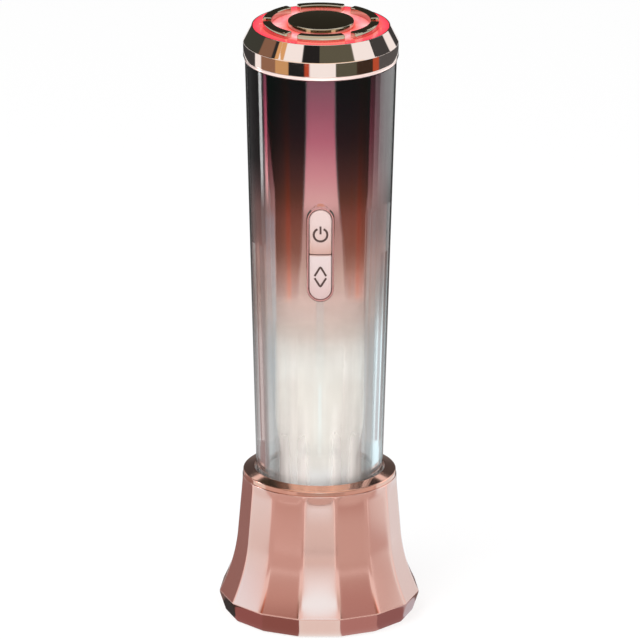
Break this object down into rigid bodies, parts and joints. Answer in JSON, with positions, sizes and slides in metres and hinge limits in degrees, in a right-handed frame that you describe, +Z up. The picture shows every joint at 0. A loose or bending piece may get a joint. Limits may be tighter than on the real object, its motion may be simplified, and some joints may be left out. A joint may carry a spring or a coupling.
{
  "type": "facial toning device",
  "caption": "Tapered handheld facial toning wand with ring electrodes in a lit head, two keys and a flared faceted charging stand.",
  "frame": {"origin": "on the floor under the middle of the stand, with the device standing in its cup", "axes": "+Z up along the device, -Y the front where the keys are, +X to the right seen from the front"},
  "size_m": [0.057, 0.0568, 0.1768],
  "materials": {
    "stand_copper": "satin pearl rose-gold plating",
    "rim_copper": "polished rose-gold plating",
    "cap_copper": "polished rose-gold plating",
    "collar_chrome": "mirror rose-gold plating",
    "pale_trim": "pale glossy ring",
    "electrode_gold": "mirror-plated electrode",
    "lit_window": "red-lit translucent plastic",
    "clear_shell": "clear glossy acrylic",
    "graded_mirror": "mirror coat graded from plum through rose to clear",
    "cream_core": "cream glossy moulding",
    "key_pink": "pale pink glossy key",
    "frame_rose": "darker rose frame",
    "pale_rubber": "silicone key mat",
    "dark_rubber": "soft black rubber",
    "dark_plastic": "fine matt moulding",
    "liner_pale": "pale satin cup moulding",
    "plain_steel": "plain steel",
    "contact_brass": "gold-plated contact",
    "board_green": "green circuit board",
    "board_white": "white light board",
    "led_lens": "light with clear lens",
    "cell_wrap": "shrink-wrapped cell"
  },
  "bodies": {
    "stand": {"stand_shell": "stand_copper", "stand_rim": "rim_copper", "cup_liner": "liner_pale", "base_plate": "dark_plastic", "foot_ring": "dark_rubber", "ballast_ring": "plain_steel", "charging_board": "board_green", "pin_barrels": "contact_brass", "power_socket": "plain_steel", "base_screws": "plain_steel"},
    "pin_left": {"charging_pin_left": "contact_brass"},
    "pin_right": {"charging_pin_right": "contact_brass"},
    "device": {"outer_shell": "clear_shell", "gradient_sleeve": "graded_mirror", "core_front": "cream_core", "core_rear": "cream_core", "core_screws": "plain_steel", "bottom_cap": "cap_copper", "bottom_seal": "dark_rubber", "charging_contacts": "contact_brass", "battery_cell": "cell_wrap", "battery_saddles": "dark_plastic", "main_board": "board_green", "rf_transformer": "dark_plastic", "tact_switches": "dark_plastic", "key_mat": "pale_rubber", "button_frame": "frame_rose", "head_frame": "dark_plastic", "head_seal": "dark_rubber", "head_screws": "plain_steel", "trim_ring": "pale_trim", "head_collar": "collar_chrome", "light_window": "lit_window", "led_board": "board_white", "leds": "led_lens", "electrode_contacts": "contact_brass", "centre_electrode": "electrode_gold", "arc_electrode_1": "electrode_gold", "arc_electrode_2": "electrode_gold", "arc_electrode_3": "electrode_gold", "arc_electrode_4": "electrode_gold", "arc_electrode_5": "electrode_gold", "arc_electrode_6": "electrode_gold"},
    "power_button": {"power_key": "key_pink"},
    "level_button": {"level_key": "key_pink"}
  },
  "joints": [
    {"name": "device_lift", "type": "slide", "parent": "stand", "child": "device", "axis": [0, 0, 1], "range_m": [0, 0.06]},
    {"name": "power_press", "type": "slide", "parent": "device", "child": "power_button", "axis": [0, 1, 0], "range_m": [0, 0.0005], "stiffness_N_per_m": 400, "springref_m": -0.001},
    {"name": "level_rock", "type": "hinge", "parent": "device", "child": "level_button", "pos_m": [0, -0.01743, 0.10605], "axis": [1, 0, 0], "range_deg": [-3, 3], "stiffness_Nm_per_rad": 0.05},
    {"name": "pin_left_press", "type": "slide", "parent": "stand", "child": "pin_left", "axis": [0, 0, -1], "range_m": [0, 0.0008], "stiffness_N_per_m": 300, "springref_m": -0.001},
    {"name": "pin_right_press", "type": "slide", "parent": "stand", "child": "pin_right", "axis": [0, 0, -1], "range_m": [0, 0.0008], "stiffness_N_per_m": 300, "springref_m": -0.001}
  ]
}
